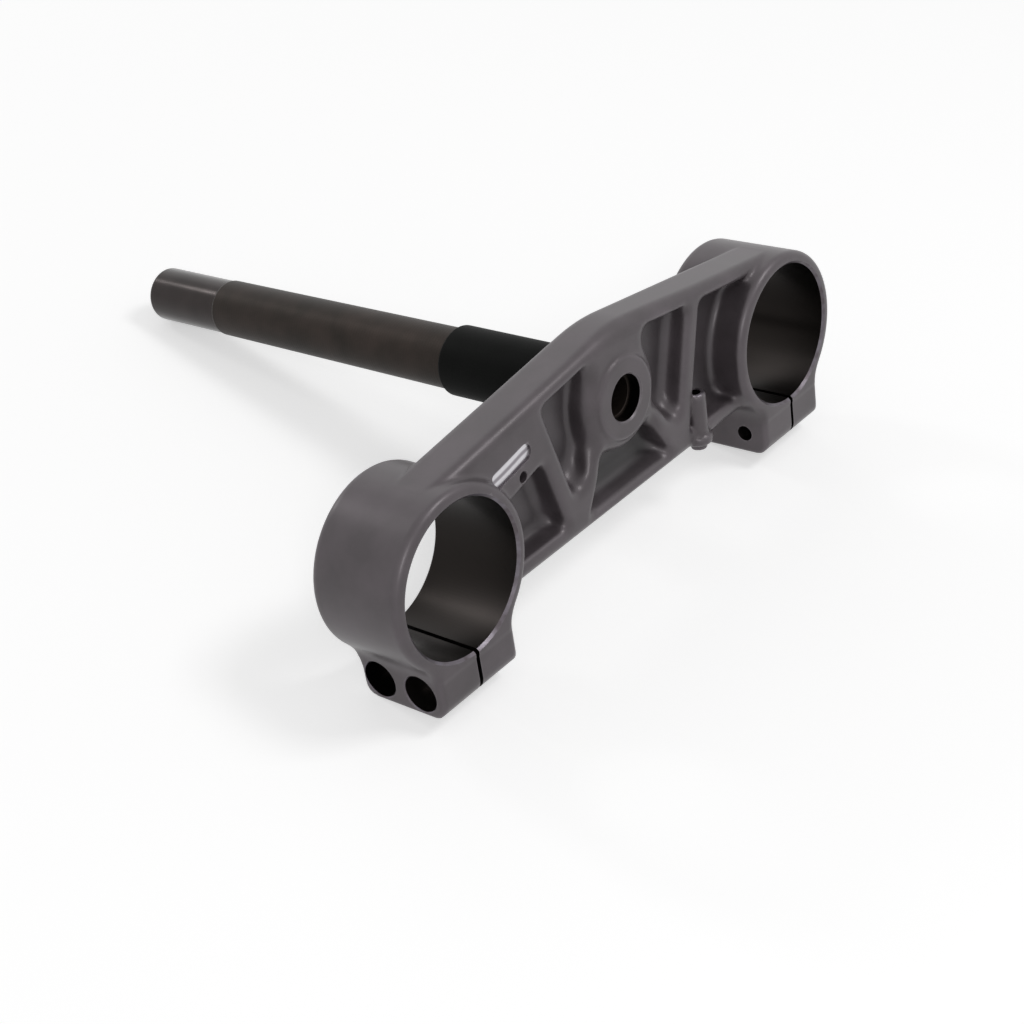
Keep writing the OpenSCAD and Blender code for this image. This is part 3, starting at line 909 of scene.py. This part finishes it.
def blackOxideSteel(v):
    # a steel sleeve blackened in a hot salt bath and oiled: near black and matt
    mat = newMaterial("blackOxideSteel")
    turned = steeringCoordinates(mat)
    cloud = addNoise(mat, turned, v["cloud"], 3.0)
    marks = addBands(mat, turned, "Z", v["toolMarks"], 0.5, 1.0)
    return addShader(mat, {"Metallic": 0.0, "Roughness": 0.55, "Specular IOR Level": 0.06},
                     {"Base Color": addRamp(mat, cloud, list(zip(v["cloudStops"], v["black"]))),
                      "Normal": addBump(mat, marks, 0.12, 0.00005)})


# in the order of the material indices in surfaceMarks
clampBody.data.materials.append(anodisedCastAluminium(castFinish))
clampBody.data.materials.append(boredAluminium(cutFinish))
clampBody.data.materials.append(milledAluminium(cutFinish))
clampBody.data.materials.append(chamferedAluminium(cutFinish))
stemShaft.data.materials.append(turnedSteel(steelFinish))
stemSleeve.data.materials.append(blackOxideSteel(sleeveFinish))

for piece, node, slotName in ((clampBody, "lower_clamp", "clamp_metal"),
                              (stemShaft, "steering_stem", "stem_steel"),
                              (stemSleeve, "stem_sleeve", "sleeve_black")):
    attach(piece, "root")
    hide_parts(node)
print("materials set")

# floor, light and white ground

studio = {
    "floorHalf": 4.0, "floorGlow": 0.5, "floorTone": "#e6e6e6",
    "worldLight": 0.33, "lampPower": 7.2,  # W, of which each lamp has its share
    "lamps": (  # name, place and width in m, share
        ("softboxAbove", (0.7, -0.85, 1.85), 0.6, 1.35),
        ("softboxLeft", (-1.0, -0.8, 0.95), 0.36, 0.5),
        ("softboxBehind", (0.65, 1.1, 0.75), 0.7, 0.08),
        ("softboxStem", (-0.2, 1.34, 0.61), 0.2, 0.2),
    ),
}


def makeFloor(v):
    # a pale matt floor under the part, with a glow that lifts it towards white where it is looked at
    half, z = v["floorHalf"], cadBox[0][2]
    mesh = bpy.data.meshes.new("paleFloor")
    mesh.from_pydata([(-half, -half, z), (half, -half, z), (half, half, z), (-half, half, z)], [], [(0, 1, 2, 3)])
    floor = bpy.data.objects.new("paleFloor", mesh)
    bpy.context.scene.collection.objects.link(floor)
    mat = newMaterial("paleFloorPaint")
    glow = addNode(mat, "ShaderNodeMath", {"operation": "MULTIPLY", 1: v["floorGlow"]}, {0: seenDirectly(mat)})
    paint = addNode(mat, "ShaderNodeBsdfDiffuse", {"Color": linear(v["floorTone"])})
    light = addNode(mat, "ShaderNodeEmission", {"Color": (1, 1, 1, 1)}, {"Strength": (glow, "Value")})
    both = addNode(mat, "ShaderNodeAddShader", links={0: (paint, "BSDF"), 1: (light, "Emission")})
    addNode(mat, "ShaderNodeOutputMaterial", links={"Surface": (both, "Shader")})
    mesh.materials.append(mat)


def makeWorld(v):
    # plain light for what it falls on, white where it is looked at
    world = bpy.data.worlds.new("studioWorld")
    bpy.context.scene.world = world
    world.use_nodes = True
    world.node_tree.nodes.clear()
    strength = addNode(world, "ShaderNodeMapRange", {"To Min": v["worldLight"], "To Max": 1.0},
                       {"Value": seenDirectly(world)})
    back = addNode(world, "ShaderNodeBackground", {"Color": (1, 1, 1, 1)}, {"Strength": (strength, "Result")})
    addNode(world, "ShaderNodeOutputWorld", links={"Surface": (back, "Background")})


def makeLamp(name, at, size, power):
    # a square softbox that looks at the origin
    data = bpy.data.lights.new(name, "AREA")
    data.shape = "SQUARE"
    data.size = size
    data.energy = power
    lamp = bpy.data.objects.new(name, data)
    bpy.context.scene.collection.objects.link(lamp)
    lamp.location = at
    lamp.rotation_euler = (-Vector(at)).to_track_quat("-Z", "Y").to_euler()


makeFloor(studio)
makeWorld(studio)
for lampName, lampAt, lampSize, lampShare in studio["lamps"]:
    makeLamp(lampName, lampAt, lampSize, studio["lampPower"] * lampShare)
bpy.context.scene.view_settings.view_transform = "Standard"
print("studio set")
